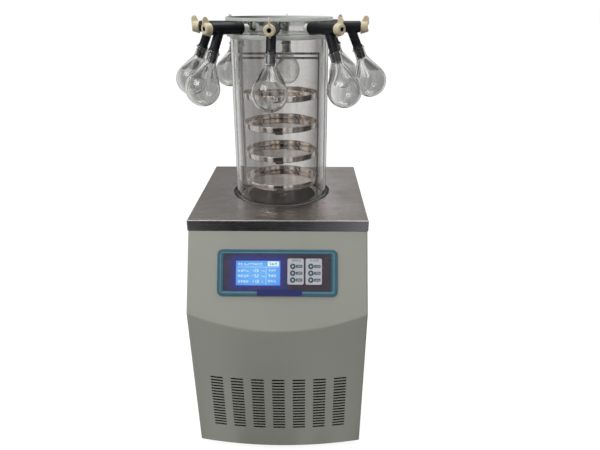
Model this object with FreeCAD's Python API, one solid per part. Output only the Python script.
import FreeCAD, Part
import math
import os

from FreeCAD import Placement, Rotation, Vector

# Bench-top laboratory freeze dryer: a refrigerated cabinet with a cold trap under a
# stainless work surface, a clear drying chamber with four trays, and a manifold of
# eight rubber valves that carry glass flasks.
#
# The working frame has its Z axis on the chamber's axis and its floor at z = 0, with
# the front at -Y. The finished pieces are moved along Y at the end, so that the origin
# lies on the floor under the middle of the whole footprint.

# ---- Driving dimensions (mm, degrees) ----

# Work surface: one folded stainless sheet
WORK_HEIGHT = 676.0
PLATE_WIDTH = 455.0
PLATE_DEPTH = 476.0
PLATE_SHEET = 1.5
SKIRT_HEIGHT = 28.0
SKIRT_CORNER = 3.0
CUTOUT_RADIUS = 137.5

# Painted cabinet, which the plate's skirt covers
SKIRT_GAP = 0.5
NECK_DROP = 1.0
CABINET_SHEET = 1.5
PANEL_BOTTOM = 25.0
KNEE_OUT = 94.0
KNEE_DROP = 211.0
FOOT_OUT = 56.5
FRONT_BOW = 23.4
KNEE_RADIUS = 9.0
EDGE_RADIUS = 5.0
RETURN_DEPTH = 25.0
SEAM = 0.5

# Air slots in the lower front
SLOT_COLUMNS = 7
SLOT_ROWS = 18
SLOT_WIDTH = 33.0
SLOT_HEIGHT = 5.0
SLOT_COLUMN_PITCH = 54.2
SLOT_ROW_PITCH = 10.0
SLOT_FIRST_DROP = 409.5

# Base pan, corner posts and feet
PAN_BOTTOM = 30.0
PAN_SHEET = 1.5
PAN_WALL = 25.0
PAN_GAP = 0.2
POST_LEG = 20.0
POST_SHEET = 2.0
FOOT_RADIUS = 21.0
FOOT_TOP_RADIUS = 17.0
FOOT_PAD = 16.0
FOOT_STEM_RADIUS = 5.0
FOOT_STEM_ABOVE = 12.0
FOOT_NUT_RADIUS = 9.0
FOOT_NUT_HEIGHT = 6.0
FOOT_INSET_X = 60.0
FOOT_INSET_Y = 55.0

# Control panel on the sloping face, measured from its middle, up the slope
BEZEL_DOWN = 104.0
BEZEL_WIDTH = 299.0
BEZEL_HEIGHT = 116.0
BEZEL_CORNER = 13.0
BEZEL_THICK = 5.0
BEZEL_SIDE_RAIL = 15.0
BEZEL_END_RAIL = 12.0
OVERLAY_THICK = 3.0
OVERLAY_CORNER = 6.0
FIT_GAP = 0.3
OVERLAY_LEDGE = 9.0
SCREEN_WIDTH = 110.0
SCREEN_HEIGHT = 61.0
SCREEN_X = -47.7
SCREEN_UP = -1.0
SCREEN_RECESS = 0.5
KEYPAD_WIDTH = 40.5
KEYPAD_HEIGHT = 64.5
KEYPAD_THICK = 1.0
KEYPAD_CORNER = 4.0
KEYPAD_X = (45.8, 90.8)
KEYPAD_UP = 3.2
KEY_RADIUS = 6.4
KEY_PROUD = 1.4
KEY_FLANGE = 1.4
KEY_FLANGE_THICK = 1.6
KEY_STEM_RADIUS = 2.5
KEY_STEM = 7.0
KEY_TRAVEL = 1.0
KEY_DISH = 0.5
KEY_DISH_RADIUS = 2.9
KEY_PITCH = 16.9
KEY_X_IN_PAD = -7.2
KEY_UP_IN_PAD = -3.9
NAME_WIDTH = 111.0
NAME_HEIGHT = 15.0
NAME_THICK = 1.0
NAME_X = 5.8
NAME_CORNER = 1.5
BOARD_WIDTH = 232.0
BOARD_HEIGHT = 70.0
BOARD_THICK = 1.6
BOARD_POST_RADIUS = 3.0
SWITCH_SIZE = 6.0

# Cold trap: a stainless pot hung from the plate
TRAP_RADIUS = 112.0
TRAP_DEPTH = 165.0
TRAP_SHEET = 1.5
TRAP_CORNER = 12.0
TRAP_RIM_GAP = 1.5
TRAP_RIM_WIDTH = 15.0
COIL_TUBE = 5.0
COIL_TURNS = 7
COIL_PITCH = 14.0
COIL_LIFT = 16.5
COIL_GAP = 0.1
FOAM_RADIUS = 165.0
FOAM_FLOOR = 36.0
FOAM_GAP = 0.3

# Chamber and its gaskets
CHAMBER_SINK = 5.0
CHAMBER_RADIUS = 127.0
CHAMBER_WALL = 8.0
CHAMBER_HEIGHT = 423.0
BASE_GASKET_THICK = 6.0
BASE_GASKET_IN = 1.0
BASE_GASKET_OUT = 9.5
TOP_GASKET_THICK = 3.0
TOP_GASKET_LIP = 2.0

# Rack and trays
TRAY_RADIUS = 100.0
TRAY_HEIGHT = 16.0
TRAY_SHEET = 1.0
TRAY_BEAD = 1.2
TRAY_CORNER = 3.0
TRAY_COUNT = 4
TRAY_PITCH = 78.4
TRAY_FIRST_RIM = 46.0
RACK_RING_IN = 96.0
RACK_RING_OUT = 116.5
RACK_RING_THICK = 3.0
RACK_POST_THICK = 4.0
RACK_POST_WIDTH = 14.0
RACK_STRIP_WIDTH = 20.0
RACK_STRIP_THICK = 2.0
RACK_LIP = 6.0
RACK_LIP_THICK = 2.0
RACK_NUB = 2.5
RACK_TOP = 380.0
RACK_BAR_HEIGHT = 5.5
RACK_BAR_PITCH = 11.3
RACK_BAR_THICK = 4.0

# Manifold drum
FLANGE_RADIUS = 136.0
FLANGE_THICK = 7.0
DRUM_RADIUS = 104.0
DRUM_WALL = 8.0
DRUM_HEIGHT = 31.0
LID_RADIUS = 138.0
LID_THICK = 8.0
PORT_COUNT = 8
PORT_PHASE = -3.0
STUB_RADIUS = 9.0
STUB_BORE = 6.0
STUB_END = 140.0

# Rubber valve
VALVE_RADIUS = 14.0
VALVE_START = 118.0
VALVE_END = 208.0
VALVE_FIT = 0.1
VALVE_EDGE = 1.5
BRANCH_AT = 181.5
BRANCH_TILT = 23.5
BRANCH_RADIUS = 11.5
BRANCH_BORE = 5.0
PLUG_START = 56.0
PLUG_LENGTH = 28.0
PLUG_RADIUS = 12.2
PLUG_TIP_RADIUS = 10.4

# Valve knob
KNOB_RADIUS = 13.0
KNOB_LENGTH = 20.5
KNOB_GAP = 0.3
KNOB_SHANK = 9.0
KNOB_SHANK_LENGTH = 18.0
KNOB_HOLE = 5.2
KNOB_HOLE_DEPTH = 26.0
KNOB_WING = 3.6
KNOB_WING_UP = 27.0
KNOB_WING_DOWN = 18.0

# Pear-shaped flask on the plug
FLASK_LENGTH = 131.5
FLASK_BULB = 41.5
FLASK_WALL = 1.6
FLASK_NECK = 14.0
FLASK_NECK_LENGTH = 27.0
FLASK_LIP = 16.0
FLASK_LIP_HEIGHT = 3.0
FLASK_FIT = 0.1

# Refrigeration set on the base pan
COMPRESSOR_X = 95.0
COMPRESSOR_Y = 80.0
COMPRESSOR_RADIUS = 78.0
COMPRESSOR_HEIGHT = 185.0
COMPRESSOR_BASE = 3.0
COMPRESSOR_BASE_HALF = 72.0
GROMMET_RADIUS = 11.0
GROMMET_HEIGHT = 12.0
CONDENSER_WIDTH = 300.0
CONDENSER_HEIGHT = 225.0
CONDENSER_DEPTH = 44.0
CONDENSER_FRONT = -283.0
CONDENSER_FINS = 31
CONDENSER_FIN = 1.0
CONDENSER_ROWS = 8
CONDENSER_TUBE = 4.8
SHROUD_SHEET = 1.5
SHROUD_DEPTH = 24.0
SHROUD_RING = 3.0
FAN_RADIUS = 88.0
FAN_TIP_GAP = 4.0
FAN_HUB = 24.0
FAN_DEPTH = 16.0
FAN_BLADES = 5
FAN_PITCH = 28.0
FAN_BLADE_THICK = 2.0
FAN_SHAFT = 4.0
SHAFT_GAP = 0.05
MOTOR_RADIUS = 30.0
MOTOR_LENGTH = 45.0
MOTOR_ARM = 10.0
PIPE_RADIUS = 4.0
PIPE_BEND = 18.0
DRIER_RADIUS = 14.0
DRIER_LENGTH = 90.0
DRIER_LOW = 150.0
DRIER_Y = -150.0
LINE_OFFSET = 25.0
HOT_LINE_Y = -185.0
HOT_LINE_RISE = 45.0
HOT_LINE_OUT = 30.0
LIQUID_LINE_OUT = 28.0
FEED_LINE_DROP = 40.0
BACK_LINE_RISE = 70.0

# Fittings on the rear panel
VACUUM_DROP = 51.0
VACUUM_BORE = 12.5
VACUUM_TUBE = 14.0
VACUUM_FLANGE = 20.0
VACUUM_FLANGE_THICK = 5.0
VACUUM_OUT = 26.0
DRAIN_DROP = 236.0
DRAIN_TUBE = 6.0
DRAIN_BORE = 4.5
DRAIN_BODY = 12.0
DRAIN_BODY_LENGTH = 30.0
DRAIN_NOZZLE = 5.0
DRAIN_NOZZLE_LENGTH = 34.0
DRAIN_STEM = 4.0
DRAIN_STEM_HEIGHT = 8.0
DRAIN_LEVER_LENGTH = 42.0
DRAIN_LEVER_WIDTH = 9.0
DRAIN_LEVER_THICK = 2.5
DRAIN_COLLAR = 2.5
DRAIN_COLLAR_DROP = 2.0
POWER_INSET = 85.5
POWER_Z = 120.0
POWER_WIDTH = 50.0
POWER_HEIGHT = 66.0
POWER_FLANGE = 3.0
POWER_LIP = 2.5
POWER_DEPTH = 28.0
SOCKET_WIDTH = 25.0
SOCKET_HEIGHT = 17.0
SOCKET_DEPTH = 18.0
SOCKET_PIN = 12.0
SOCKET_DOWN = 15.0
ROCKER_WIDTH = 13.0
ROCKER_HEIGHT = 20.0
ROCKER_THICK = 6.0
ROCKER_UP = 15.0
ROCKER_TILT = 12.0
ROCKER_WINDOW_GAP = 1.2
ROCKER_PIN = 1.5
GRILLE_ROWS = 12
GRILLE_COLUMNS = 2
GRILLE_WIDTH = 70.0
GRILLE_PITCH = 12.0
GRILLE_GAP = 90.0
GRILLE_LOW = 210.0
SCREW_HEAD = 3.5
SCREW_HEAD_HEIGHT = 1.8
SCREW_SHANK = 1.5
SCREW_LENGTH = 6.0
SCREW_HOLE_GAP = 0.2
SCREW_EDGE = 12.0
SCREW_ROWS = 4

# ---- Places worked out from the dimensions ----

PLATE_FRONT = -PLATE_DEPTH / 2
PLATE_REAR = PLATE_DEPTH / 2
PLATE_UNDER = WORK_HEIGHT - PLATE_SHEET
SKIRT_BOTTOM = WORK_HEIGHT - SKIRT_HEIGHT
SKIRT_CLEAR = PLATE_SHEET + SKIRT_GAP
CABINET_HALF = PLATE_WIDTH / 2 - SKIRT_CLEAR
CABINET_FRONT = PLATE_FRONT + SKIRT_CLEAR
CABINET_REAR = PLATE_REAR - SKIRT_CLEAR
LEDGE_Z = SKIRT_BOTTOM - SKIRT_GAP
PANEL_TOP = PLATE_UNDER - NECK_DROP

KNEE_Z = WORK_HEIGHT - KNEE_DROP
SLOPE = math.atan2(KNEE_OUT, KNEE_DROP - SKIRT_HEIGHT)
LEAN = math.atan2(KNEE_OUT - FOOT_OUT, KNEE_Z - PANEL_BOTTOM)
BOW_RADIUS = (CABINET_HALF ** 2 + FRONT_BOW ** 2) / (2 * FRONT_BOW)

PAN_TOP = PAN_BOTTOM + PAN_SHEET
FRAME_INSET = CABINET_SHEET + PAN_GAP + PAN_SHEET

TRAP_LEDGE = WORK_HEIGHT - CHAMBER_SINK - BASE_GASKET_THICK
TRAP_FLOOR = TRAP_LEDGE - TRAP_DEPTH
TRAP_WALL = TRAP_RADIUS + TRAP_SHEET
COIL_RADIUS = TRAP_WALL + COIL_GAP + COIL_TUBE
COIL_BOTTOM = TRAP_FLOOR + COIL_LIFT
COIL_TOP = COIL_BOTTOM + (COIL_TURNS - 1) * COIL_PITCH
FOAM_BOTTOM = TRAP_FLOOR - TRAP_SHEET - FOAM_FLOOR
STUB_LOW = FOAM_BOTTOM - 12.0

CHAMBER_BASE = WORK_HEIGHT - CHAMBER_SINK
CHAMBER_TOP = CHAMBER_BASE + CHAMBER_HEIGHT
FLANGE_BASE = CHAMBER_TOP + TOP_GASKET_THICK
DRUM_BASE = FLANGE_BASE + FLANGE_THICK
DRUM_TOP = DRUM_BASE + DRUM_HEIGHT
PORT_Z = DRUM_BASE + DRUM_HEIGHT / 2
PLUG_END = PLUG_START + PLUG_LENGTH

FLASK_CENTRE = PLUG_START + FLASK_LENGTH - FLASK_BULB
TILT = math.radians(BRANCH_TILT)
FLASK_REACH = BRANCH_AT + FLASK_CENTRE * math.sin(TILT)

POWER_X = -(CABINET_HALF - POWER_INSET)
SOCKET_X = POWER_X
VACUUM_Z = WORK_HEIGHT - VACUUM_DROP
VACUUM_FACE = CABINET_REAR + VACUUM_OUT
DRAIN_Z = WORK_HEIGHT - DRAIN_DROP
DRAIN_END = CABINET_REAR + DRAIN_BODY_LENGTH
DRAIN_AXIS_Y = CABINET_REAR + DRAIN_BODY_LENGTH / 2

# The footprint's front is the middle of the knee, and its rear is a flask
SLOPE_RUN = math.tan(SLOPE)
LEAN_RUN = math.tan(LEAN)
KNEE_MIDDLE_DROP = FRONT_BOW / (SLOPE_RUN + LEAN_RUN)
KNEE_TRIM = KNEE_RADIUS * (math.cos((SLOPE - LEAN) / 2) / math.cos((SLOPE + LEAN) / 2) - 1)
FRONT_REACH = PLATE_REAR + KNEE_OUT + KNEE_MIDDLE_DROP * SLOPE_RUN - KNEE_TRIM
REAR_REACH = FLASK_REACH * math.cos(math.radians(PORT_PHASE)) + FLASK_BULB
ORIGIN_SHIFT = (FRONT_REACH - REAR_REACH) / 2

X_AXIS = Vector(1, 0, 0)
Y_AXIS = Vector(0, 1, 0)
Z_AXIS = Vector(0, 0, 1)

# ---- Helpers ----


def block(x0, x1, y0, y1, z0, z1):
    """A box between two corners."""
    return Part.makeBox(x1 - x0, y1 - y0, z1 - z0, Vector(x0, y0, z0))


def rod(radius, start, end):
    """A round bar between two points."""
    line = end.sub(start)
    return Part.makeCylinder(radius, line.Length, start, line)


def disc(radius, z0, z1, x=0.0, y=0.0):
    """A round plate on a vertical axis."""
    return Part.makeCylinder(radius, z1 - z0, Vector(x, y, z0))


def ring(outer, inner, z0, z1, x=0.0, y=0.0):
    """A washer on a vertical axis."""
    return disc(outer, z0, z1, x, y).cut(disc(inner, z0 - 1, z1 + 1, x, y))


def joined(shapes):
    """All shapes as one solid."""
    first = shapes[0]
    return first.fuse(shapes[1:]).removeSplitter()


def prism(points, axis):
    """A polygon's face pushed along a vector."""
    wire = Part.makePolygon(points + [points[0]])
    return Part.Face(wire).extrude(axis)


def round_box(width, height, corner, z0, z1, x=0.0, y=0.0):
    """A plate with rounded corners, flat in the XY plane."""
    plate = block(x - width / 2, x + width / 2, y - height / 2, y + height / 2, z0, z1)
    uprights = [e for e in plate.Edges if abs(e.tangentAt(e.FirstParameter).z) > 0.9]
    return plate.makeFillet(corner, uprights)


def turned(points):
    """A profile of (radius, z) points and arcs turned about the Z axis.

    An entry of three pairs is an arc from the point before, through the first pair, to
    the second; a plain pair is the end of a straight line.
    """
    edges = []
    here = Vector(points[0][0], 0, points[0][1])
    for entry in points[1:] + [points[0]]:
        if isinstance(entry[0], tuple):
            middle = Vector(entry[0][0], 0, entry[0][1])
            end = Vector(entry[1][0], 0, entry[1][1])
            edges.append(Part.Arc(here, middle, end).toShape())
        else:
            end = Vector(entry[0], 0, entry[1])
            if end.distanceToPoint(here) > 1e-6:
                edges.append(Part.makeLine(here, end))
        here = end
    face = Part.Face(Part.Wire(edges))
    return face.revolve(Vector(0, 0, 0), Z_AXIS, 360)


def bent_pipe(points, radius, bend):
    """A round pipe along straight runs joined by tangent arcs."""
    edges = []
    here = points[0]
    for before, corner, after in zip(points, points[1:], points[2:]):
        way_in = corner.sub(before).normalize()
        way_out = after.sub(corner).normalize()
        half_turn = way_in.getAngle(way_out) / 2
        cut = bend * math.tan(half_turn)
        start = corner.sub(way_in * cut)
        end = corner.add(way_out * cut)
        inward = way_out.sub(way_in).normalize()
        middle = corner.add(inward * (bend / math.cos(half_turn) - bend))
        edges.append(Part.makeLine(here, start))
        edges.append(Part.Arc(start, middle, end).toShape())
        here = end
    edges.append(Part.makeLine(here, points[-1]))
    path = Part.Wire(edges)
    circle = Part.makeCircle(radius, points[0], points[1].sub(points[0]))
    return path.makePipeShell([Part.Wire([circle])], True, False)


def around(shape, port):
    """Turn a shape drawn along +X to a port's place on the manifold."""
    turn = PORT_PHASE + port * 360.0 / PORT_COUNT - 90.0
    copy = shape.copy()
    copy.rotate(Vector(0, 0, 0), Z_AXIS, turn)
    return copy


def along_branch(shape):
    """Place a shape drawn along +Z on the valve's tilted branch, for the port on +X."""
    copy = shape.copy()
    turn = Rotation(Y_AXIS, 180.0 - BRANCH_TILT)
    copy.Placement = Placement(Vector(BRANCH_AT, 0, PORT_Z), turn).multiply(copy.Placement)
    return copy


def slope_placement():
    """The frame of the control panel: X right, Y up the slope, Z out of the face."""
    down = BEZEL_DOWN
    middle = Vector(0, PLATE_FRONT - down * math.sin(SLOPE), SKIRT_BOTTOM - down * math.cos(SLOPE))
    return Placement(middle, Rotation(X_AXIS, 90.0 - math.degrees(SLOPE)))


def on_slope(shape):
    """Place a shape drawn flat in the XY plane on the sloping face."""
    copy = shape.copy()
    copy.Placement = slope_placement().multiply(copy.Placement)
    return copy


PARTS = {}


def keep(name, shape):
    """Remember a finished piece under its name."""
    PARTS[name] = shape


# ---- Cabinet ----


def cabinet_form(inset, bottom, top, rounded=True):
    """The cabinet's outside form, drawn in by inset: a sloping face over a bowed one.

    Above the ledge it narrows to the neck that the plate's skirt covers.
    """
    half = CABINET_HALF - inset
    rear = CABINET_REAR - inset
    far = PLATE_FRONT - 3 * KNEE_OUT
    high = 2 * WORK_HEIGHT
    ledge = LEDGE_Z - inset
    slope_start = PLATE_FRONT + inset / math.cos(SLOPE)
    profile = [
        (rear, -WORK_HEIGHT),
        (far, -WORK_HEIGHT),
        (far, SKIRT_BOTTOM - (slope_start - far) / SLOPE_RUN),
        (slope_start + (high - SKIRT_BOTTOM) * SLOPE_RUN, high),
        (rear, high),
    ]
    points = [Vector(-half, y, z) for y, z in profile]
    form = prism(points, Vector(2 * half, 0, 0))

    foot = Vector(0, PLATE_FRONT - FOOT_OUT - FRONT_BOW, PANEL_BOTTOM)
    inward = Vector(0, math.cos(LEAN), math.sin(LEAN))
    upward = Vector(0, -math.sin(LEAN), math.cos(LEAN))
    centre = foot.add(inward * BOW_RADIUS)
    barrel = Part.makeCylinder(BOW_RADIUS - inset, 3 * high, centre.sub(upward * high), upward)
    form = form.common(barrel)
    if rounded:
        form = soften_front(form, inset)
    form = form.common(block(-half - 1, half + 1, far, rear + 1, bottom, min(top, ledge)))
    if top > ledge:
        neck = block(-half, half, CABINET_FRONT + inset, rear, max(bottom, ledge), top)
        form = form.fuse(neck).removeSplitter()
    return form


def soften_front(form, inset):
    """Round the knee of a cabinet form, then its two front corners."""
    knee = []
    for edge in form.Edges:
        box = edge.BoundBox
        across = box.XLength > CABINET_HALF and box.YMax < CABINET_FRONT
        if across and 0 < box.ZMin and box.ZMax < LEDGE_Z:
            knee.append(edge)
    form = form.makeFillet(KNEE_RADIUS - inset, knee)
    corners = []
    for edge in form.Edges:
        box = edge.BoundBox
        if box.XLength < 0.01 and box.ZLength > WORK_HEIGHT / 2 and box.YMin < CABINET_FRONT:
            corners.append(edge)
    return form.makeFillet(EDGE_RADIUS - inset, corners)


def behind_front(seam):
    """Everything that lies behind the front panel's return flanges."""
    margin = 5.0
    form = cabinet_form(-margin, PANEL_BOTTOM - margin, PLATE_UNDER + margin, rounded=False)
    form.translate(Vector(0, RETURN_DEPTH + seam + margin, 0))
    rear = block(-PLATE_WIDTH, PLATE_WIDTH, 0, PLATE_DEPTH, PANEL_BOTTOM - margin, PLATE_UNDER + margin)
    return form.fuse(rear)


def air_slots():
    """The front's air slots, as one set of cutters."""
    cutters = []
    reach = 3 * KNEE_OUT
    for column in range(SLOT_COLUMNS):
        x = (column - (SLOT_COLUMNS - 1) / 2) * SLOT_COLUMN_PITCH
        for row in range(SLOT_ROWS):
            z = WORK_HEIGHT - SLOT_FIRST_DROP - row * SLOT_ROW_PITCH
            cutters.append(block(
                x - SLOT_WIDTH / 2, x + SLOT_WIDTH / 2, PLATE_FRONT - reach, PLATE_FRONT,
                z - SLOT_HEIGHT / 2, z + SLOT_HEIGHT / 2,
            ))
    return Part.makeCompound(cutters)


def panel_hole():
    """The opening in the sloping face behind the control panel."""
    width = BEZEL_WIDTH - 2 * (BEZEL_SIDE_RAIL + OVERLAY_LEDGE)
    height = BEZEL_HEIGHT - 2 * (BEZEL_END_RAIL + OVERLAY_LEDGE)
    return on_slope(round_box(width, height, OVERLAY_CORNER, -10, 10))


def make_front_panel():
    outer = cabinet_form(0, PANEL_BOTTOM, PANEL_TOP)
    inner = cabinet_form(CABINET_SHEET, PANEL_BOTTOM - 1, PANEL_TOP + 1)
    skin = outer.cut(inner).cut(behind_front(0))
    return skin.cut(panel_hole()).cut(air_slots())


def screw_heights():
    """The heights of the screws down each edge of a panel."""
    low = PANEL_BOTTOM + 2 * SCREW_EDGE
    high = SKIRT_BOTTOM - 2 * SCREW_EDGE
    step = (high - low) / (SCREW_ROWS - 1)
    return [low + step * row for row in range(SCREW_ROWS)]


def screw_places():
    """Each panel screw's place on the outside face, and its direction out."""
    places = []
    for side in (-1, 1):
        for z in screw_heights():
            rear_x = side * (CABINET_HALF - FRAME_INSET - SCREW_EDGE)
            places.append((Vector(rear_x, CABINET_REAR, z), Vector(0, 1, 0)))
            side_y = CABINET_REAR - FRAME_INSET - SCREW_EDGE
            places.append((Vector(side * CABINET_HALF, side_y, z), Vector(side, 0, 0)))
    return places


def screw_holes():
    holes = []
    for place, out in screw_places():
        start = place.sub(out * SCREW_LENGTH * 2)
        holes.append(rod(SCREW_SHANK + SCREW_HOLE_GAP, start, place.add(out * 2)))
    return Part.makeCompound(holes)


def make_panel_screws():
    screws = []
    for place, out in screw_places():
        head = rod(SCREW_HEAD, place, place.add(out * SCREW_HEAD_HEIGHT))
        rim = [e for e in head.Edges if e.CenterOfMass.distanceToPoint(place) > SCREW_HEAD_HEIGHT - 0.01]
        rim = [e for e in rim if e.isClosed()]
        head = head.makeFillet(SCREW_HEAD_HEIGHT / 2, rim)
        shank = rod(SCREW_SHANK, place.sub(out * SCREW_LENGTH), place.add(out * 0.5))
        socket = rod(SCREW_SHANK, place.add(out * SCREW_HEAD_HEIGHT / 2), place.add(out * 5))
        screws.append(head.fuse(shank).cut(socket))
    return Part.makeCompound(screws)


def make_side_panel(side):
    """One flat side sheet, from the front panel's seam to the rear."""
    form = cabinet_form(0, PANEL_BOTTOM, PANEL_TOP, rounded=False)
    low = side * (CABINET_HALF - CABINET_SHEET)
    high = side * CABINET_HALF
    sheet = block(min(low, high), max(low, high), 2 * PLATE_FRONT, PLATE_REAR, 0, WORK_HEIGHT)
    return form.common(sheet).common(behind_front(SEAM)).cut(screw_holes())


def grille_cutters():
    cutters = []
    for column in range(GRILLE_COLUMNS):
        x = (column - (GRILLE_COLUMNS - 1) / 2) * GRILLE_GAP
        for row in range(GRILLE_ROWS):
            z = GRILLE_LOW + row * GRILLE_PITCH
            slot = block(
                x - GRILLE_WIDTH / 2, x + GRILLE_WIDTH / 2, 0, 2 * CABINET_REAR,
                z - SLOT_HEIGHT / 2, z + SLOT_HEIGHT / 2,
            )
            cutters.append(slot)
    return Part.makeCompound(cutters)


def make_rear_panel():
    half = CABINET_HALF - CABINET_SHEET
    sheet = block(-half, half, CABINET_REAR - CABINET_SHEET, CABINET_REAR, PANEL_BOTTOM, PANEL_TOP)
    power = block(
        POWER_X - POWER_WIDTH / 2 + POWER_LIP - FIT_GAP,
        POWER_X + POWER_WIDTH / 2 - POWER_LIP + FIT_GAP,
        0, PLATE_DEPTH,
        POWER_Z - POWER_HEIGHT / 2 + POWER_LIP - FIT_GAP,
        POWER_Z + POWER_HEIGHT / 2 - POWER_LIP + FIT_GAP,
    )
    vacuum = rod(VACUUM_TUBE + FIT_GAP, Vector(0, 0, VACUUM_Z), Vector(0, PLATE_DEPTH, VACUUM_Z))
    drain = rod(DRAIN_TUBE + FIT_GAP, Vector(0, 0, DRAIN_Z), Vector(0, PLATE_DEPTH, DRAIN_Z))
    sheet = sheet.cut([power, vacuum, drain])
    return sheet.cut(grille_cutters()).cut(screw_holes())


def make_top_plate():
    half = PLATE_WIDTH / 2
    outer = block(-half, half, PLATE_FRONT, PLATE_REAR, SKIRT_BOTTOM, WORK_HEIGHT)
    folds = [e for e in outer.Edges if e.BoundBox.ZMin > SKIRT_BOTTOM + 1 or e.BoundBox.ZLength > 1]
    outer = outer.makeFillet(SKIRT_CORNER, folds)
    inside = block(
        -half + PLATE_SHEET, half - PLATE_SHEET,
        PLATE_FRONT + PLATE_SHEET, PLATE_REAR - PLATE_SHEET,
        SKIRT_BOTTOM - 1, PLATE_UNDER,
    )
    folds = [e for e in inside.Edges if e.BoundBox.ZMin > SKIRT_BOTTOM or e.BoundBox.ZLength > 1]
    inside = inside.makeFillet(SKIRT_CORNER - PLATE_SHEET, folds)
    return outer.cut(inside).cut(disc(CUTOUT_RADIUS, 0, 2 * WORK_HEIGHT))


def foot_places():
    """The four feet, set in from the cabinet's corners."""
    x = CABINET_HALF - FOOT_INSET_X
    front = PLATE_FRONT - FOOT_OUT + FOOT_INSET_Y
    rear = CABINET_REAR - FOOT_INSET_Y
    return [(-x, front), (x, front), (-x, rear), (x, rear)]


def make_base_pan():
    outer = cabinet_form(CABINET_SHEET + PAN_GAP, PAN_BOTTOM, PAN_BOTTOM + PAN_WALL)
    inner = cabinet_form(FRAME_INSET, PAN_TOP, PAN_BOTTOM + PAN_WALL + 1)
    pan = outer.cut(inner)
    stems = []
    for x, y in foot_places():
        stems.append(disc(FOOT_STEM_RADIUS + FIT_GAP, 0, PAN_TOP + 1, x, y))
    return pan.cut(stems).cut(screw_holes())


def make_corner_posts():
    """Four angle posts between the base pan and the work surface."""
    posts = []
    outer_x = CABINET_HALF - FRAME_INSET
    for side in (-1, 1):
        for end in (-1, 1):
            corner_y = end * (CABINET_REAR - FRAME_INSET)
            x_in = side * (outer_x - POST_LEG)
            y_in = corner_y - end * POST_LEG
            x_leg = side * (outer_x - POST_SHEET)
            y_leg = corner_y - end * POST_SHEET
            full = block(
                min(side * outer_x, x_in), max(side * outer_x, x_in),
                min(corner_y, y_in), max(corner_y, y_in), PAN_TOP, PLATE_UNDER,
            )
            waste = block(
                min(x_leg, x_in - side), max(x_leg, x_in - side),
                min(y_leg, y_in - end), max(y_leg, y_in - end), PAN_TOP - 1, PLATE_UNDER + 1,
            )
            posts.append(full.cut(waste))
    return Part.makeCompound(posts).cut(screw_holes())


def hexagon(across, z0, z1, x, y):
    """A hexagonal nut blank, measured over its corners."""
    points = []
    for corner in range(6):
        angle = math.radians(60 * corner)
        points.append(Vector(x + across * math.cos(angle), y + across * math.sin(angle), z0))
    return prism(points, Vector(0, 0, z1 - z0))


def make_feet():
    """Four levelling feet: a rubber pad on a threaded stem with its lock nut."""
    feet = []
    for x, y in foot_places():
        pad = Part.makeCone(FOOT_RADIUS, FOOT_TOP_RADIUS, FOOT_PAD, Vector(x, y, 0))
        stem = disc(FOOT_STEM_RADIUS, FOOT_PAD - 1, PAN_TOP + FOOT_STEM_ABOVE, x, y)
        nut = hexagon(FOOT_NUT_RADIUS, PAN_BOTTOM - FOOT_NUT_HEIGHT, PAN_BOTTOM, x, y)
        feet.append(joined([pad, stem, nut]))
    return Part.makeCompound(feet)


# ---- Control panel ----


def key_places():
    """The six keys, three on each keypad plate, from the top down."""
    places = []
    for pad_x in KEYPAD_X:
        for row in (1, 0, -1):
            places.append((pad_x + KEY_X_IN_PAD, KEYPAD_UP + KEY_UP_IN_PAD + row * KEY_PITCH))
    return places


NAME_UP = -BEZEL_HEIGHT / 2 + NAME_HEIGHT / 2 + 0.5
BOARD_FACE = -(KEY_FLANGE_THICK + FIT_GAP + KEY_STEM + KEY_TRAVEL + 4.0)


def make_bezel():
    outer = round_box(BEZEL_WIDTH, BEZEL_HEIGHT, BEZEL_CORNER, 0, BEZEL_THICK)
    rim = [e for e in outer.Edges if e.BoundBox.ZMin > BEZEL_THICK - 0.01]
    outer = outer.makeFillet(1.5, rim)
    width = BEZEL_WIDTH - 2 * BEZEL_SIDE_RAIL
    height = BEZEL_HEIGHT - 2 * BEZEL_END_RAIL
    window = round_box(width, height, OVERLAY_CORNER + FIT_GAP, -1, BEZEL_THICK + 1)
    pad_height = NAME_HEIGHT + 1
    pad = block(
        NAME_X - NAME_WIDTH / 2 - 0.5, NAME_X + NAME_WIDTH / 2 + 0.5,
        NAME_UP - pad_height / 2 + 1.5, NAME_UP + pad_height / 2, OVERLAY_THICK, BEZEL_THICK,
    )
    return on_slope(joined([outer.cut(window), pad]))


def make_overlay():
    width = BEZEL_WIDTH - 2 * BEZEL_SIDE_RAIL - 2 * FIT_GAP
    height = BEZEL_HEIGHT - 2 * BEZEL_END_RAIL - 2 * FIT_GAP
    sheet = round_box(width, height, OVERLAY_CORNER, 0, OVERLAY_THICK)
    window = block(
        SCREEN_X - SCREEN_WIDTH / 2 - FIT_GAP, SCREEN_X + SCREEN_WIDTH / 2 + FIT_GAP,
        SCREEN_UP - SCREEN_HEIGHT / 2 - FIT_GAP, SCREEN_UP + SCREEN_HEIGHT / 2 + FIT_GAP,
        -1, OVERLAY_THICK + 1,
    )
    cutters = [window]
    for x, y in key_places():
        cutters.append(disc(KEY_RADIUS + FIT_GAP, -1, OVERLAY_THICK + 1, x, y))
    return on_slope(sheet.cut(cutters))


def make_screen():
    """The display module, from the board to just under the overlay's face."""
    glass = block(
        SCREEN_X - SCREEN_WIDTH / 2, SCREEN_X + SCREEN_WIDTH / 2,
        SCREEN_UP - SCREEN_HEIGHT / 2, SCREEN_UP + SCREEN_HEIGHT / 2,
        BOARD_FACE, OVERLAY_THICK - SCREEN_RECESS,
    )
    return on_slope(glass)


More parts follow.
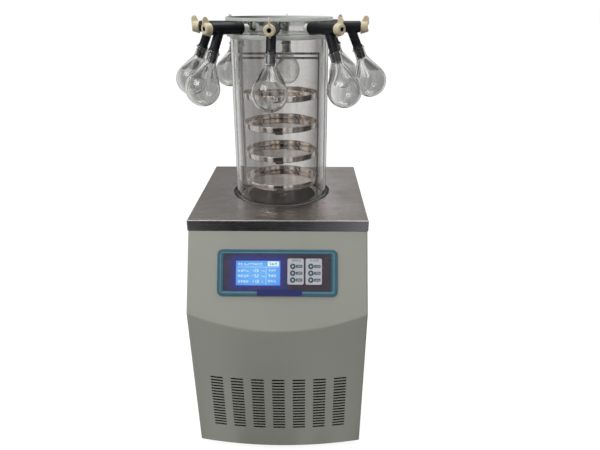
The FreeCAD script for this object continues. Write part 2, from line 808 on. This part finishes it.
def make_keypad_plates():
    plates = []
    for pad_x in KEYPAD_X:
        plate = round_box(
            KEYPAD_WIDTH, KEYPAD_HEIGHT, KEYPAD_CORNER,
            OVERLAY_THICK, OVERLAY_THICK + KEYPAD_THICK, pad_x, KEYPAD_UP,
        )
        plates.append(plate)
    holes = []
    for x, y in key_places():
        holes.append(disc(KEY_RADIUS + FIT_GAP, 0, 2 * BEZEL_THICK, x, y))
    return on_slope(Part.makeCompound(plates).cut(holes))


def make_key(x, y):
    """A round push key: cap, retaining flange and stem in one moulding."""
    top = OVERLAY_THICK + KEYPAD_THICK + KEY_PROUD
    cap = disc(KEY_RADIUS, -FIT_GAP, top, x, y)
    rim = [e for e in cap.Edges if e.isClosed() and e.BoundBox.ZMin > top - 0.01]
    cap = cap.makeFillet(0.6, rim)
    flange = disc(KEY_RADIUS + KEY_FLANGE, -FIT_GAP - KEY_FLANGE_THICK, -FIT_GAP, x, y)
    stem = disc(KEY_STEM_RADIUS, -FIT_GAP - KEY_FLANGE_THICK - KEY_STEM, -FIT_GAP, x, y)
    dish = disc(KEY_DISH_RADIUS, top - KEY_DISH, top + 1, x, y)
    return on_slope(joined([cap, flange, stem]).cut(dish))


def make_name_plate():
    plate = round_box(
        NAME_WIDTH, NAME_HEIGHT, NAME_CORNER, BEZEL_THICK, BEZEL_THICK + NAME_THICK,
        NAME_X, NAME_UP + 0.75,
    )
    return on_slope(plate)


def make_board():
    """The circuit board, its key switches and the posts that hold it to the overlay."""
    back = BOARD_FACE - BOARD_THICK
    board = block(
        -BOARD_WIDTH / 2, BOARD_WIDTH / 2, -BOARD_HEIGHT / 2, BOARD_HEIGHT / 2, back, BOARD_FACE,
    )
    pieces = [board]
    for x_side in (-1, 1):
        for y_side in (-1, 1):
            x = x_side * (BOARD_WIDTH / 2 - 2 * BOARD_POST_RADIUS)
            y = y_side * (BOARD_HEIGHT / 2 - BOARD_POST_RADIUS)
            pieces.append(disc(BOARD_POST_RADIUS, BOARD_FACE, 0, x, y))
    stem_end = -FIT_GAP - KEY_FLANGE_THICK - KEY_STEM
    half = SWITCH_SIZE / 2
    for x, y in key_places():
        top = stem_end - KEY_TRAVEL - FIT_GAP
        pieces.append(block(x - half, x + half, y - half, y + half, BOARD_FACE, top))
    return on_slope(joined(pieces))


# ---- Cold trap ----


def coil_stub_places():
    """Where the coil's two tails come down, beside and outside the turns."""
    outside = COIL_RADIUS + 2 * COIL_TUBE + COIL_GAP
    return (COIL_RADIUS, 0.0), (outside * math.cos(math.radians(30)), outside * 0.5)


def make_cold_trap():
    rim_in = CUTOUT_RADIUS + TRAP_RIM_GAP
    rim_wall = rim_in + TRAP_SHEET
    ledge_low = TRAP_LEDGE - TRAP_SHEET
    pot = disc(TRAP_WALL, TRAP_FLOOR - TRAP_SHEET, TRAP_LEDGE)
    bottom = [e for e in pot.Edges if e.BoundBox.ZMax < TRAP_FLOOR]
    pot = pot.makeFillet(TRAP_CORNER + TRAP_SHEET, bottom)
    ledge = disc(rim_wall, ledge_low, TRAP_LEDGE)
    upstand = ring(rim_wall, rim_in, ledge_low, PLATE_UNDER)
    flange = ring(rim_wall + TRAP_RIM_WIDTH, rim_in, PLATE_UNDER - TRAP_SHEET, PLATE_UNDER)
    hollow = disc(TRAP_RADIUS, TRAP_FLOOR, WORK_HEIGHT)
    bottom = [e for e in hollow.Edges if e.BoundBox.ZMax < TRAP_FLOOR + 1]
    hollow = hollow.makeFillet(TRAP_CORNER, bottom)
    shell = joined([pot, ledge, upstand, flange]).cut(hollow)
    drain = disc(DRAIN_BORE, TRAP_FLOOR - 2 * TRAP_SHEET, TRAP_FLOOR + 1)
    port = rod(VACUUM_TUBE + COIL_GAP, Vector(0, 0, VACUUM_Z), Vector(0, PLATE_REAR, VACUUM_Z))
    return shell.cut([drain, port])


def make_coil():
    """The evaporator: turns of copper tube round the pot, with two tails."""
    low, high = coil_stub_places()
    pieces = []
    for turn in range(COIL_TURNS):
        z = COIL_BOTTOM + turn * COIL_PITCH
        pieces.append(Part.makeTorus(COIL_RADIUS, COIL_TUBE, Vector(0, 0, z), Z_AXIS))
    for turn in range(COIL_TURNS - 1):
        z = COIL_BOTTOM + turn * COIL_PITCH
        angle = math.radians(-60 - 20 * (turn % 2))
        x = COIL_RADIUS * math.cos(angle)
        y = COIL_RADIUS * math.sin(angle)
        pieces.append(disc(COIL_TUBE * 0.8, z, z + COIL_PITCH, x, y))
    pieces.append(disc(COIL_TUBE, STUB_LOW, COIL_BOTTOM, low[0], low[1]))
    pieces.append(disc(COIL_TUBE, STUB_LOW, COIL_TOP, high[0], high[1]))
    inner = Vector(high[0], high[1], 0).normalize() * COIL_RADIUS
    link = rod(COIL_TUBE, Vector(inner.x, inner.y, COIL_TOP), Vector(high[0], high[1], COIL_TOP))
    pieces.append(link)
    pieces.append(Part.makeSphere(COIL_TUBE, Vector(high[0], high[1], COIL_TOP)))
    return joined(pieces)


def make_insulation():
    """The foam jacket under and round the pot."""
    top = TRAP_LEDGE - TRAP_SHEET
    jacket = disc(FOAM_RADIUS, FOAM_BOTTOM, top)
    cavity = disc(COIL_RADIUS + COIL_TUBE + FOAM_GAP, TRAP_FLOOR - TRAP_SHEET, top + 1)
    low, high = coil_stub_places()
    cutters = [cavity]
    bottom = FOAM_BOTTOM - 1
    cutters.append(disc(COIL_TUBE + FOAM_GAP, bottom, COIL_TOP, low[0], low[1]))
    cutters.append(disc(COIL_TUBE + FOAM_GAP, bottom, COIL_TOP + 2 * COIL_TUBE, high[0], high[1]))
    bend = Vector(high[0], high[1], COIL_TOP)
    cutters.append(rod(COIL_TUBE + FOAM_GAP, Vector(0, 0, COIL_TOP), bend))
    cutters.append(disc(DRAIN_TUBE + FOAM_GAP, bottom, TRAP_FLOOR))
    cutters.append(rod(VACUUM_TUBE + FOAM_GAP, Vector(0, 0, VACUUM_Z), Vector(0, PLATE_REAR, VACUUM_Z)))
    return jacket.cut(cutters)


def make_base_gasket():
    """The black ring that the chamber stands on, with a low outer lip."""
    inner = CHAMBER_RADIUS - CHAMBER_WALL - BASE_GASKET_IN
    outer = CHAMBER_RADIUS + BASE_GASKET_OUT
    lip_in = CHAMBER_RADIUS + FIT_GAP
    flat = ring(outer, inner, TRAP_LEDGE, CHAMBER_BASE)
    lip = ring(lip_in + 3.5, lip_in, TRAP_LEDGE, CHAMBER_BASE + 2.5)
    return joined([flat, lip])


# ---- Chamber, rack and trays ----


def make_chamber():
    return ring(CHAMBER_RADIUS, CHAMBER_RADIUS - CHAMBER_WALL, CHAMBER_BASE, CHAMBER_TOP)


def make_top_gasket():
    outer = CHAMBER_RADIUS + TOP_GASKET_LIP
    inner = CHAMBER_RADIUS - CHAMBER_WALL - TOP_GASKET_LIP
    return ring(outer, inner, CHAMBER_TOP, FLANGE_BASE)


def tray_floor(level):
    """The underside of one tray, counted from the lowest."""
    return WORK_HEIGHT + TRAY_FIRST_RIM + level * TRAY_PITCH - TRAY_HEIGHT


def make_rack():
    """One welded stand: base ring, two uprights, a cross under each tray, two top bars."""
    post_in = TRAY_RADIUS + FIT_GAP
    post_out = post_in + RACK_POST_THICK
    ring_top = TRAP_LEDGE + RACK_RING_THICK
    pieces = [ring(RACK_RING_OUT, RACK_RING_IN, TRAP_LEDGE, ring_top)]
    half = RACK_POST_WIDTH / 2
    top = WORK_HEIGHT + RACK_TOP
    for side in (-1, 1):
        near = side * post_in
        far = side * post_out
        pieces.append(block(min(near, far), max(near, far), -half, half, TRAP_LEDGE, top))
    strip = RACK_STRIP_WIDTH / 2
    lip_in = TRAY_RADIUS + FIT_GAP
    lip_out = lip_in + RACK_LIP_THICK
    for level in range(TRAY_COUNT):
        high = tray_floor(level)
        low = high - RACK_STRIP_THICK
        reach = post_out + RACK_NUB
        pieces.append(block(-reach, reach, -half + 2, half - 2, low, high))
        pieces.append(block(-post_out, post_out, -strip, strip, low, high).common(disc(TRAY_RADIUS, 0, 2 * top)))
        pieces.append(block(-strip, strip, -lip_out, lip_out, low, high))
        for end in (-1, 1):
            near = end * lip_in
            far = end * lip_out
            pieces.append(block(-strip, strip, min(near, far), max(near, far), low, high + RACK_LIP))
    bar = RACK_BAR_THICK / 2
    for step in range(2):
        high = top - step * RACK_BAR_PITCH
        pieces.append(block(-post_out, post_out, -bar, bar, high - RACK_BAR_HEIGHT, high))
    return joined(pieces)


def make_tray(level):
    """A pressed round tray with a hemmed rim."""
    z = tray_floor(level)
    outer = TRAY_RADIUS
    inner = TRAY_RADIUS - TRAY_SHEET
    rim = z + TRAY_HEIGHT
    bend = TRAY_CORNER
    inside = TRAY_CORNER - TRAY_SHEET
    s = math.sqrt(0.5)
    profile = [
        (0, z),
        (outer - bend, z),
        ((outer - bend + bend * s, z + bend - bend * s), (outer, z + bend)),
        (outer, rim),
        (inner - TRAY_BEAD, rim),
        (inner - TRAY_BEAD, rim - TRAY_BEAD),
        (inner, rim - TRAY_BEAD),
        (inner, z + bend),
        (
            (inner - inside + inside * s, z + TRAY_SHEET + inside - inside * s),
            (inner - inside, z + TRAY_SHEET),
        ),
        (0, z + TRAY_SHEET),
    ]
    return turned(profile)


# ---- Manifold ----


def make_drum():
    """The clear drum: flange, wall, lid and eight cemented stubs."""
    flange = disc(FLANGE_RADIUS, FLANGE_BASE, DRUM_BASE)
    wall = disc(DRUM_RADIUS, DRUM_BASE, DRUM_TOP)
    lid = disc(LID_RADIUS, DRUM_TOP, DRUM_TOP + LID_THICK)
    pieces = [flange, wall, lid]
    bores = [disc(DRUM_RADIUS - DRUM_WALL, FLANGE_BASE - 1, DRUM_TOP)]
    inside = DRUM_RADIUS - DRUM_WALL / 2
    for port in range(PORT_COUNT):
        stub = rod(STUB_RADIUS, Vector(inside, 0, PORT_Z), Vector(STUB_END, 0, PORT_Z))
        bore = rod(STUB_BORE, Vector(inside - DRUM_WALL, 0, PORT_Z), Vector(STUB_END + 1, 0, PORT_Z))
        pieces.append(around(stub, port))
        bores.append(around(bore, port))
    return joined(pieces).cut(bores)


def make_valve_body():
    """One moulded rubber elbow, for the port on +X."""
    start = Vector(VALVE_START, 0, PORT_Z)
    end = Vector(VALVE_END, 0, PORT_Z)
    barrel = rod(VALVE_RADIUS, start, end)
    barrel = barrel.makeFillet(VALVE_EDGE, [e for e in barrel.Edges if e.BoundBox.XLength < 0.01])
    branch = along_branch(disc(BRANCH_RADIUS, 0, PLUG_START + 1))
    plug = along_branch(Part.makeCone(PLUG_RADIUS, PLUG_TIP_RADIUS, PLUG_LENGTH, Vector(0, 0, PLUG_START)))
    body = joined([barrel, branch, plug])
    socket = rod(STUB_RADIUS + VALVE_FIT, start - X_AXIS, Vector(STUB_END + VALVE_FIT, 0, PORT_Z))
    through = rod(STUB_BORE, start, end)
    seat = rod(KNOB_SHANK + KNOB_GAP, end - X_AXIS * (KNOB_SHANK_LENGTH + KNOB_GAP), end + X_AXIS)
    down = along_branch(disc(BRANCH_BORE, 0, PLUG_END + 1))
    return body.cut([socket, through, seat, down])


def make_knob():
    """One winged valve knob, pointing up, for the port on +X."""
    face = VALVE_END + KNOB_GAP
    front = face + KNOB_LENGTH
    boss = rod(KNOB_RADIUS, Vector(face, 0, PORT_Z), Vector(front - 2.5, 0, PORT_Z))
    boss = boss.makeFillet(1.2, [e for e in boss.Edges if e.isClosed()])
    shank = rod(KNOB_SHANK, Vector(face - KNOB_SHANK_LENGTH, 0, PORT_Z), Vector(face + 2, 0, PORT_Z))
    half = KNOB_WING / 2
    outline = [
        (face, -KNOB_WING_DOWN),
        (front, -KNOB_RADIUS + 1.0),
        (front, KNOB_WING_UP - 6.0),
        (front - 5.0, KNOB_WING_UP),
        (face + 8.5, KNOB_WING_UP - 1.0),
        (face + 1.5, KNOB_RADIUS - 1.0),
        (face, 0),
    ]
    points = [Vector(x, -half, PORT_Z + z) for x, z in outline]
    wing = prism(points, Vector(0, KNOB_WING, 0))
    hole = rod(KNOB_HOLE, Vector(front - KNOB_HOLE_DEPTH, 0, PORT_Z), Vector(front + 1, 0, PORT_Z))
    return joined([boss, shank, wing]).cut(hole)


def flask_curve(neck, bulb, neck_end, centre):
    """Where a cone from the neck meets the bulb: (angle, radius, height)."""
    run = centre - neck_end
    length = math.hypot(run, neck)
    angle = math.asin(bulb / length) - math.atan2(neck, run)
    return angle, bulb * math.cos(angle), centre - bulb * math.sin(angle)


def make_flask():
    """One pear-shaped flask with a ground neck, on the branch for the port on +X."""
    mouth = PLUG_START
    neck_end = mouth + FLASK_NECK_LENGTH
    centre = FLASK_CENTRE
    angle, touch_r, touch_z = flask_curve(FLASK_NECK, FLASK_BULB, neck_end, centre)
    side = (math.pi / 2 - angle) / 2
    mid_r = FLASK_BULB * math.cos(side - angle)
    mid_z = centre + FLASK_BULB * math.sin(side - angle)
    outer = turned([
        (0, mouth),
        (FLASK_LIP, mouth),
        (FLASK_LIP, mouth + FLASK_LIP_HEIGHT),
        (FLASK_NECK, mouth + FLASK_LIP_HEIGHT + 2.0),
        (FLASK_NECK, neck_end),
        (touch_r, touch_z),
        ((mid_r, mid_z), (0, centre + FLASK_BULB)),
    ])
    bulb = FLASK_BULB - FLASK_WALL
    throat = PLUG_TIP_RADIUS + FLASK_FIT
    angle, touch_r, touch_z = flask_curve(throat, bulb, PLUG_END + 1.0, centre)
    side = (math.pi / 2 - angle) / 2
    mid_r = bulb * math.cos(side - angle)
    mid_z = centre + bulb * math.sin(side - angle)
    inner = turned([
        (0, mouth - 1.0),
        (PLUG_RADIUS + FLASK_FIT, mouth - 1.0),
        (PLUG_RADIUS + FLASK_FIT, mouth),
        (throat, PLUG_END),
        (throat, PLUG_END + 1.0),
        (touch_r, touch_z),
        ((mid_r, mid_z), (0, centre + bulb)),
    ])
    return along_branch(outer.cut(inner))


# ---- Refrigeration set ----


def make_compressor():
    """A hermetic can with its seam, foot plate, rubber grommets and terminal box."""
    x = COMPRESSOR_X
    y = COMPRESSOR_Y
    low = PAN_TOP + GROMMET_HEIGHT
    base = low + COMPRESSOR_BASE
    can = disc(COMPRESSOR_RADIUS, base, base + COMPRESSOR_HEIGHT, x, y)
    can = can.makeFillet(COMPRESSOR_RADIUS * 0.5, [e for e in can.Edges if e.isClosed()])
    seam_z = base + COMPRESSOR_HEIGHT * 0.55
    seam = disc(COMPRESSOR_RADIUS + 3, seam_z, seam_z + 6, x, y)
    half = COMPRESSOR_BASE_HALF
    plate = block(x - half, x + half, y - half, y + half, low, base + 3)
    box = block(
        x - COMPRESSOR_RADIUS - 22, x - COMPRESSOR_RADIUS + 20, y - 25, y + 25,
        base + 50, base + 105,
    )
    grommets = []
    for x_side in (-1, 1):
        for y_side in (-1, 1):
            gx = x + x_side * (half - GROMMET_RADIUS)
            gy = y + y_side * (half - GROMMET_RADIUS)
            grommets.append(disc(GROMMET_RADIUS, PAN_TOP, low, gx, gy))
    return joined([can, seam, plate, box] + grommets)


CONDENSER_REAR = CONDENSER_FRONT + CONDENSER_DEPTH
CONDENSER_MID = CONDENSER_FRONT + CONDENSER_DEPTH / 2
CONDENSER_TOP = PAN_TOP + CONDENSER_HEIGHT
CONDENSER_STEP = CONDENSER_HEIGHT / CONDENSER_ROWS


def condenser_row(row):
    return PAN_TOP + CONDENSER_STEP * (row + 0.5)


def make_condenser():
    """Fins on a serpentine tube between two end plates, standing on the pan."""
    half = CONDENSER_WIDTH / 2
    pieces = []
    for fin in range(CONDENSER_FINS):
        x = -half + CONDENSER_FIN / 2 + fin * (CONDENSER_WIDTH - CONDENSER_FIN) / (CONDENSER_FINS - 1)
        end = fin in (0, CONDENSER_FINS - 1)
        low = PAN_TOP if end else PAN_TOP + 6
        pieces.append(block(
            x - CONDENSER_FIN / 2, x + CONDENSER_FIN / 2, CONDENSER_FRONT, CONDENSER_REAR,
            low, CONDENSER_TOP,
        ))
    reach = half + 6
    for row in range(CONDENSER_ROWS):
        z = condenser_row(row)
        pieces.append(rod(CONDENSER_TUBE, Vector(-reach, CONDENSER_MID, z), Vector(reach, CONDENSER_MID, z)))
    for row in range(CONDENSER_ROWS - 1):
        side = reach if row % 2 else -reach
        z = condenser_row(row)
        pieces.append(Part.makeSphere(CONDENSER_TUBE, Vector(side, CONDENSER_MID, z)))
        pieces.append(Part.makeSphere(CONDENSER_TUBE, Vector(side, CONDENSER_MID, z + CONDENSER_STEP)))
        pieces.append(disc(CONDENSER_TUBE, z, z + CONDENSER_STEP, side, CONDENSER_MID))
    return joined(pieces)


FAN_Z = PAN_TOP + CONDENSER_HEIGHT / 2
FAN_MID = CONDENSER_REAR + SHROUD_DEPTH / 2
MOTOR_FACE = CONDENSER_REAR + SHROUD_DEPTH + 4.0


def make_shroud():
    """The fan's sheet shroud with its ring, three arms and the motor they hold."""
    half = CONDENSER_WIDTH / 2
    opening = FAN_RADIUS + FAN_TIP_GAP
    rear = CONDENSER_REAR + SHROUD_DEPTH
    centre = Vector(0, 0, FAN_Z)
    sheet = block(-half, half, CONDENSER_REAR, CONDENSER_REAR + SHROUD_SHEET, PAN_TOP, CONDENSER_TOP)
    collar = rod(opening + SHROUD_RING, centre + Y_AXIS * CONDENSER_REAR, centre + Y_AXIS * rear)
    hole = rod(opening, centre + Y_AXIS * (CONDENSER_REAR - 1), centre + Y_AXIS * (rear + 1))
    pieces = [joined([sheet, collar]).cut(hole)]
    motor_rear = MOTOR_FACE + MOTOR_LENGTH
    motor = rod(MOTOR_RADIUS, centre + Y_AXIS * MOTOR_FACE, centre + Y_AXIS * motor_rear)
    bore_end = MOTOR_FACE + MOTOR_LENGTH / 2
    bore = rod(FAN_SHAFT + SHAFT_GAP, centre + Y_AXIS * (MOTOR_FACE - 1), centre + Y_AXIS * bore_end)
    pieces.append(motor.cut(bore))
    for arm in range(3):
        angle = 90 + 120 * arm
        bar = block(MOTOR_RADIUS - 4, opening + SHROUD_RING, rear, rear + 3, -MOTOR_ARM / 2, MOTOR_ARM / 2)
        foot = block(MOTOR_RADIUS - 4, MOTOR_RADIUS + 2, rear, MOTOR_FACE + 6, -MOTOR_ARM / 2, MOTOR_ARM / 2)
        limb = bar.fuse(foot)
        limb.rotate(Vector(0, 0, 0), Y_AXIS, angle)
        limb.translate(centre)
        pieces.append(limb)
    whole = joined(pieces)
    return whole.cut(bore)


def make_fan():
    """Hub, pitched blades and the shaft that runs in the motor."""
    blades = []
    span = FAN_RADIUS - FAN_HUB + 4
    for number in range(FAN_BLADES):
        blade = block(-22, 22, -FAN_BLADE_THICK / 2, FAN_BLADE_THICK / 2, 0, span)
        blade.rotate(Vector(0, 0, 0), Z_AXIS, FAN_PITCH)
        blade.translate(Vector(0, 0, FAN_HUB - 4))
        blade.rotate(Vector(0, 0, 0), Y_AXIS, 360.0 / FAN_BLADES * number)
        blades.append(blade)
    half = FAN_DEPTH / 2
    hub = rod(FAN_HUB, Vector(0, -half, 0), Vector(0, half, 0))
    tips = rod(FAN_RADIUS, Vector(0, -half - 6, 0), Vector(0, half + 6, 0))
    shaft_end = MOTOR_FACE + MOTOR_LENGTH / 2 - 1.0 - FAN_MID
    shaft = rod(FAN_SHAFT, Vector(0, 0, 0), Vector(0, shaft_end, 0))
    wheel = joined([hub] + blades).common(tips)
    wheel = joined([wheel, shaft])
    wheel.translate(Vector(0, FAN_MID, FAN_Z))
    return wheel


def make_pipes():
    """Copper lines between compressor, condenser, filter drier and coil."""
    low, high = coil_stub_places()
    can_top = PAN_TOP + GROMMET_HEIGHT + COMPRESSOR_BASE + COMPRESSOR_HEIGHT
    cx = COMPRESSOR_X
    cy = COMPRESSOR_Y
    reach = CONDENSER_WIDTH / 2 + 6
    hot_x = cx - LINE_OFFSET
    hot_top = can_top + HOT_LINE_RISE
    hot_out = reach + HOT_LINE_OUT
    last = condenser_row(CONDENSER_ROWS - 1)
    hot = bent_pipe([
        Vector(hot_x, cy, can_top),
        Vector(hot_x, cy, hot_top),
        Vector(hot_x, HOT_LINE_Y, hot_top),
        Vector(hot_out, HOT_LINE_Y, hot_top),
        Vector(hot_out, HOT_LINE_Y, last),
        Vector(hot_out, CONDENSER_MID, last),
        Vector(reach, CONDENSER_MID, last),
    ], PIPE_RADIUS, PIPE_BEND)
    drier_x = -hot_out
    drier_top = DRIER_LOW + DRIER_LENGTH
    first = condenser_row(0)
    liquid_out = reach + LIQUID_LINE_OUT
    liquid = bent_pipe([
        Vector(reach, CONDENSER_MID, first),
        Vector(liquid_out, CONDENSER_MID, first),
        Vector(liquid_out, DRIER_Y, first),
        Vector(drier_x, DRIER_Y, first),
        Vector(drier_x, DRIER_Y, DRIER_LOW),
    ], PIPE_RADIUS, PIPE_BEND)
    drier = disc(DRIER_RADIUS, DRIER_LOW, drier_top, drier_x, DRIER_Y)
    drier = drier.makeFillet(DRIER_RADIUS * 0.6, [e for e in drier.Edges if e.isClosed()])
    feed_z = STUB_LOW - FEED_LINE_DROP
    feed = bent_pipe([
        Vector(drier_x, DRIER_Y, drier_top),
        Vector(drier_x, DRIER_Y, feed_z),
        Vector(low[0], DRIER_Y, feed_z),
        Vector(low[0], low[1], feed_z),
        Vector(low[0], low[1], STUB_LOW),
    ], PIPE_RADIUS, PIPE_BEND)
    back_x = cx + LINE_OFFSET
    back_top = can_top + BACK_LINE_RISE
    back = bent_pipe([
        Vector(high[0], high[1], STUB_LOW),
        Vector(high[0], high[1], back_top),
        Vector(back_x, cy, back_top),
        Vector(back_x, cy, can_top),
    ], PIPE_RADIUS, PIPE_BEND / 2)
    return Part.makeCompound([hot, joined([liquid, drier, feed]), back])


# ---- Rear fittings ----


def make_vacuum_port():
    """The pump connection: a tube from the trap with a flange for a clamp ring."""
    start = Vector(0, TRAP_RADIUS, VACUUM_Z)
    face = Vector(0, VACUUM_FACE, VACUUM_Z)
    tube = rod(VACUUM_TUBE, start, face)
    flat = VACUUM_FLANGE_THICK / 2
    lip = rod(VACUUM_FLANGE, face - Y_AXIS * flat, face)
    taper = Part.makeCone(VACUUM_TUBE, VACUUM_FLANGE, flat, face - Y_AXIS * VACUUM_FLANGE_THICK, Y_AXIS)
    collar = ring(VACUUM_TUBE + 6, VACUUM_TUBE - 0.5, 0, 2.5)
    collar.rotate(Vector(0, 0, 0), X_AXIS, -90)
    collar.translate(Vector(0, CABINET_REAR, VACUUM_Z))
    bore = rod(VACUUM_BORE, start - Y_AXIS, face + Y_AXIS)
    return joined([tube, lip, taper, collar]).cut(bore)


def make_drain_valve():
    """The defrost drain: its tube from the trap, the valve body and the hose nozzle."""
    top = TRAP_FLOOR - TRAP_SHEET
    path = [Vector(0, 0, top), Vector(0, 0, DRAIN_Z), Vector(0, CABINET_REAR + 2, DRAIN_Z)]
    tube = bent_pipe(path, DRAIN_TUBE, PIPE_BEND)
    body = rod(DRAIN_BODY, Vector(0, CABINET_REAR, DRAIN_Z), Vector(0, DRAIN_END, DRAIN_Z))
    body = body.makeFillet(2.0, [e for e in body.Edges if e.isClosed()])
    axis_y = DRAIN_AXIS_Y
    nozzle = rod(DRAIN_NOZZLE, Vector(0, axis_y, DRAIN_Z), Vector(0, axis_y, DRAIN_Z - DRAIN_NOZZLE_LENGTH))
    collar_z = DRAIN_Z - DRAIN_BODY - DRAIN_COLLAR_DROP
    collar = rod(DRAIN_NOZZLE + DRAIN_COLLAR, Vector(0, axis_y, DRAIN_Z), Vector(0, axis_y, collar_z))
    neck = rod(DRAIN_STEM + 2.5, Vector(0, axis_y, DRAIN_Z), Vector(0, axis_y, DRAIN_Z + DRAIN_BODY + 3))
    whole = joined([tube, body, nozzle, collar, neck])
    bore_top = DRAIN_Z - DRAIN_NOZZLE_LENGTH
    bore = rod(DRAIN_NOZZLE - 2, Vector(0, axis_y, bore_top - 1), Vector(0, axis_y, bore_top + 20))
    return whole.cut(bore)


LEVER_Z = DRAIN_Z + DRAIN_BODY + 3.0 + FIT_GAP


def make_drain_handle():
    """The drain's lever, across the valve when it is shut."""
    low = LEVER_Z
    high = low + DRAIN_LEVER_THICK
    hub = disc(DRAIN_STEM + 3, low, high + 2.5, 0, DRAIN_AXIS_Y)
    half = DRAIN_LEVER_WIDTH / 2
    arm = block(0, DRAIN_LEVER_LENGTH, DRAIN_AXIS_Y - half, DRAIN_AXIS_Y + half, low, high)
    tip = disc(half, low, high, DRAIN_LEVER_LENGTH, DRAIN_AXIS_Y)
    return joined([hub, arm, tip])


def make_power_entry():
    """A moulded mains unit: the inlet socket with its pins, and the rocker's housing."""
    face = CABINET_REAR + POWER_FLANGE
    half_x = POWER_WIDTH / 2
    half_z = POWER_HEIGHT / 2
    flange = block(POWER_X - half_x, POWER_X + half_x, CABINET_REAR, face, POWER_Z - half_z, POWER_Z + half_z)
    flange = flange.makeFillet(2.4, [e for e in flange.Edges if e.BoundBox.YLength > 1])
    body = block(
        POWER_X - half_x + POWER_LIP, POWER_X + half_x - POWER_LIP,
        CABINET_REAR - POWER_DEPTH, CABINET_REAR + 1,
        POWER_Z - half_z + POWER_LIP, POWER_Z + half_z - POWER_LIP,
    )
    socket_z = POWER_Z - SOCKET_DOWN
    socket = block(
        SOCKET_X - SOCKET_WIDTH / 2, SOCKET_X + SOCKET_WIDTH / 2, face - SOCKET_DEPTH, face + 1,
        socket_z - SOCKET_HEIGHT / 2, socket_z + SOCKET_HEIGHT / 2,
    )
    pivot = rocker_pivot()
    gap = ROCKER_WINDOW_GAP
    window = block(
        POWER_X - ROCKER_WIDTH / 2 - FIT_GAP, POWER_X + ROCKER_WIDTH / 2 + FIT_GAP,
        CABINET_REAR - ROCKER_THICK, face + 1,
        pivot.z - ROCKER_HEIGHT / 2 - gap, pivot.z + ROCKER_HEIGHT / 2 + gap,
    )
    reach = ROCKER_WIDTH / 2 + 2.0 + FIT_GAP
    pin_hole = rod(ROCKER_PIN + SHAFT_GAP, pivot - X_AXIS * reach, pivot + X_AXIS * reach)
    unit = joined([flange, body]).cut([socket, window, pin_hole])
    pins = []
    root = face - SOCKET_DEPTH
    for x, z in ((-7.0, -2.0), (0.0, 2.0), (7.0, -2.0)):
        px = SOCKET_X + x
        pz = socket_z + z
        pins.append(block(px - 1.0, px + 1.0, root - 1, root + SOCKET_PIN, pz - 2.0, pz + 2.0))
    return joined([unit] + pins)


def rocker_pivot():
    return Vector(POWER_X, CABINET_REAR + 0.5, POWER_Z + ROCKER_UP)


def make_rocker():
    """The mains rocker, tilted to its off side, with its pivot pins."""
    pivot = rocker_pivot()
    half_x = ROCKER_WIDTH / 2
    half_z = ROCKER_HEIGHT / 2
    half_y = ROCKER_THICK / 2
    cap = block(-half_x, half_x, -half_y, half_y, -half_z, half_z)
    cap = cap.makeFillet(0.8, [e for e in cap.Edges if e.BoundBox.YMin > half_y - 0.01])
    cap.rotate(Vector(0, 0, 0), X_AXIS, -ROCKER_TILT)
    pin = rod(ROCKER_PIN, X_AXIS * -(half_x + 2.0), X_AXIS * (half_x + 2.0))
    rocker = joined([cap, pin])
    rocker.translate(pivot)
    return rocker


# ---- Assembly ----


def build():
    keep("base_pan", make_base_pan())
    keep("corner_posts", make_corner_posts())
    keep("front_panel", make_front_panel())
    keep("left_side_panel", make_side_panel(-1))
    keep("right_side_panel", make_side_panel(1))
    keep("rear_panel", make_rear_panel())
    keep("top_plate", make_top_plate())
    keep("levelling_feet", make_feet())
    keep("panel_screws", make_panel_screws())

    keep("panel_bezel", make_bezel())
    keep("panel_overlay", make_overlay())
    keep("display_screen", make_screen())
    keep("keypad_plates", make_keypad_plates())
    keep("name_plate", make_name_plate())
    keep("control_board", make_board())
    for number, (x, y) in enumerate(key_places(), 1):
        keep(f"key_{number}", make_key(x, y))

    keep("cold_trap", make_cold_trap())
    keep("evaporator_coil", make_coil())
    keep("trap_insulation", make_insulation())
    keep("base_gasket", make_base_gasket())
    keep("chamber_tube", make_chamber())
    keep("top_gasket", make_top_gasket())
    keep("sample_rack", make_rack())
    for level in range(TRAY_COUNT):
        keep(f"tray_{level + 1}", make_tray(level))

    keep("manifold_drum", make_drum())
    elbow = make_valve_body()
    keep("valve_bodies", Part.makeCompound([around(elbow, port) for port in range(PORT_COUNT)]))
    knob = make_knob()
    flask = make_flask()
    for port in range(PORT_COUNT):
        keep(f"valve_knob_{port + 1}", around(knob, port))
        keep(f"flask_{port + 1}", around(flask, port))

    keep("compressor", make_compressor())
    keep("condenser", make_condenser())
    keep("fan_shroud", make_shroud())
    keep("condenser_fan", make_fan())
    keep("refrigerant_pipes", make_pipes())

    keep("vacuum_port", make_vacuum_port())
    keep("drain_valve", make_drain_valve())
    keep("drain_handle", make_drain_handle())
    keep("power_entry", make_power_entry())
    keep("power_rocker", make_rocker())


build()
os.makedirs("parts", exist_ok=True)
for name, shape in PARTS.items():
    shape.translate(Vector(0, ORIGIN_SHIFT, 0))
    shape.exportStep(f"parts/{name}.step")
    print(f"{name:20s} solids {len(shape.Solids):2d}  volume {shape.Volume / 1000:10.2f} cm3  valid {shape.isValid()}")
